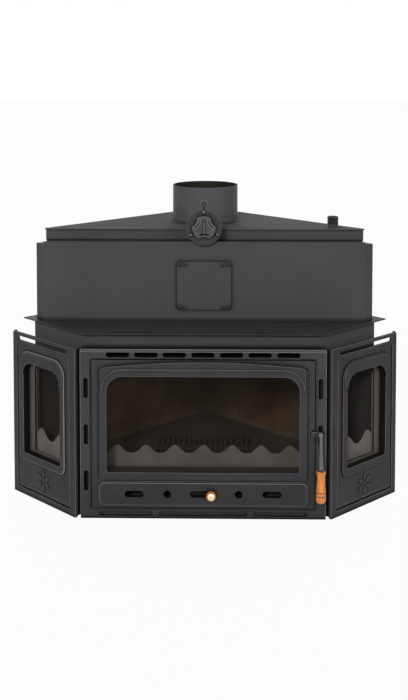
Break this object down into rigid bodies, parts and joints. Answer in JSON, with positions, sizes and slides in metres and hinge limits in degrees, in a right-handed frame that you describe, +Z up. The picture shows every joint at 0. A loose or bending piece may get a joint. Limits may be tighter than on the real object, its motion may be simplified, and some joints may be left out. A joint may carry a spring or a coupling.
{
  "type": "boiler fireplace insert",
  "caption": "Corner wood-burning boiler insert with a hinged glass door, angled side windows, air shutter, latch, smoke hood, top water tank and a flue collar with a damper.",
  "frame": {"origin": "on the floor, straight under the axis of the flue collar", "axes": "+Z up along the flue axis, the door faces -Y, +X to the right seen from the front"},
  "size_m": [1.137, 0.7779, 0.9],
  "materials": {
    "iron_paint": "matt heat-proof graphite paint on cast iron",
    "body_paint": "matt heat-proof graphite paint on sheet steel",
    "dark_steel": "dark mill-scale steel, inside and behind",
    "fire_iron": "raw cast iron with a dusting of ash",
    "firebrick": "pressed vermiculite board, sooty",
    "glass": "clear heat-proof glass, lightly smoked",
    "rope": "glass-fibre rope",
    "wood": "varnished orange-brown beech",
    "screw_steel": "bright zinc plate",
    "flue_paint": "satin heat-proof graphite paint"
  },
  "bodies": {
    "casing": {"front_frame": "iron_paint", "side_panel_left": "iron_paint", "side_panel_right": "iron_paint", "body_front": "body_paint", "side_wall_left": "body_paint", "side_wall_right": "body_paint", "shelf_plate": "body_paint", "hood_front": "body_paint", "hood_back_left": "body_paint", "hood_back_right": "body_paint", "hood_top_sheet": "body_paint", "inspection_cover": "body_paint", "tank_walls": "body_paint", "tank_lid": "body_paint", "flow_pipe": "body_paint", "return_pipe": "body_paint", "rod_bracket": "body_paint", "back_wall_left": "body_paint", "back_wall_right": "body_paint", "base_plate": "dark_steel", "water_jacket_left": "dark_steel", "water_jacket_right": "dark_steel", "ash_floor": "dark_steel", "ash_pan": "dark_steel", "baffle": "dark_steel", "air_duct": "dark_steel", "riser_left": "dark_steel", "riser_right": "dark_steel", "cover_bolts": "dark_steel", "hearth_plate": "fire_iron", "grate": "fire_iron", "log_guard_front": "fire_iron", "log_guard_left": "fire_iron", "log_guard_right": "fire_iron", "brick_left_1": "firebrick", "brick_left_2": "firebrick", "brick_left_3": "firebrick", "brick_right_1": "firebrick", "brick_right_2": "firebrick", "brick_right_3": "firebrick", "side_glass_left": "glass", "side_glass_right": "glass", "cover_gasket": "rope", "flue_collar": "flue_paint"},
    "door": {"door": "iron_paint", "door_glass": "glass", "glass_gasket": "rope", "door_rope": "rope", "glass_clips": "dark_steel", "hinge_pins": "dark_steel"},
    "air_slide": {"air_shutter": "dark_steel", "air_knob": "wood", "air_knob_screw": "screw_steel"},
    "latch": {"latch_spindle": "iron_paint", "latch_lever": "iron_paint", "latch_grip": "wood"},
    "damper": {"damper_rod": "dark_steel", "damper_plate": "dark_steel", "damper_wheel": "iron_paint", "wheel_screws": "screw_steel"}
  },
  "joints": [
    {"name": "door_hinge", "type": "hinge", "parent": "casing", "child": "door", "pos_m": [-0.3065, -0.386, 0.24], "axis": [0, 0, -1], "range_deg": [0, 110]},
    {"name": "air_shutter_slide", "type": "slide", "parent": "door", "child": "air_slide", "axis": [-1, 0, 0], "range_m": [0, 0.054]},
    {"name": "latch_turn", "type": "hinge", "parent": "door", "child": "latch", "pos_m": [0.32775, -0.4, 0.244], "axis": [0, -1, 0], "range_deg": [0, 90]},
    {"name": "damper_turn", "type": "hinge", "parent": "casing", "child": "damper", "pos_m": [0, 0, 0.801], "axis": [0, 1, 0], "range_deg": [0, 90]}
  ]
}
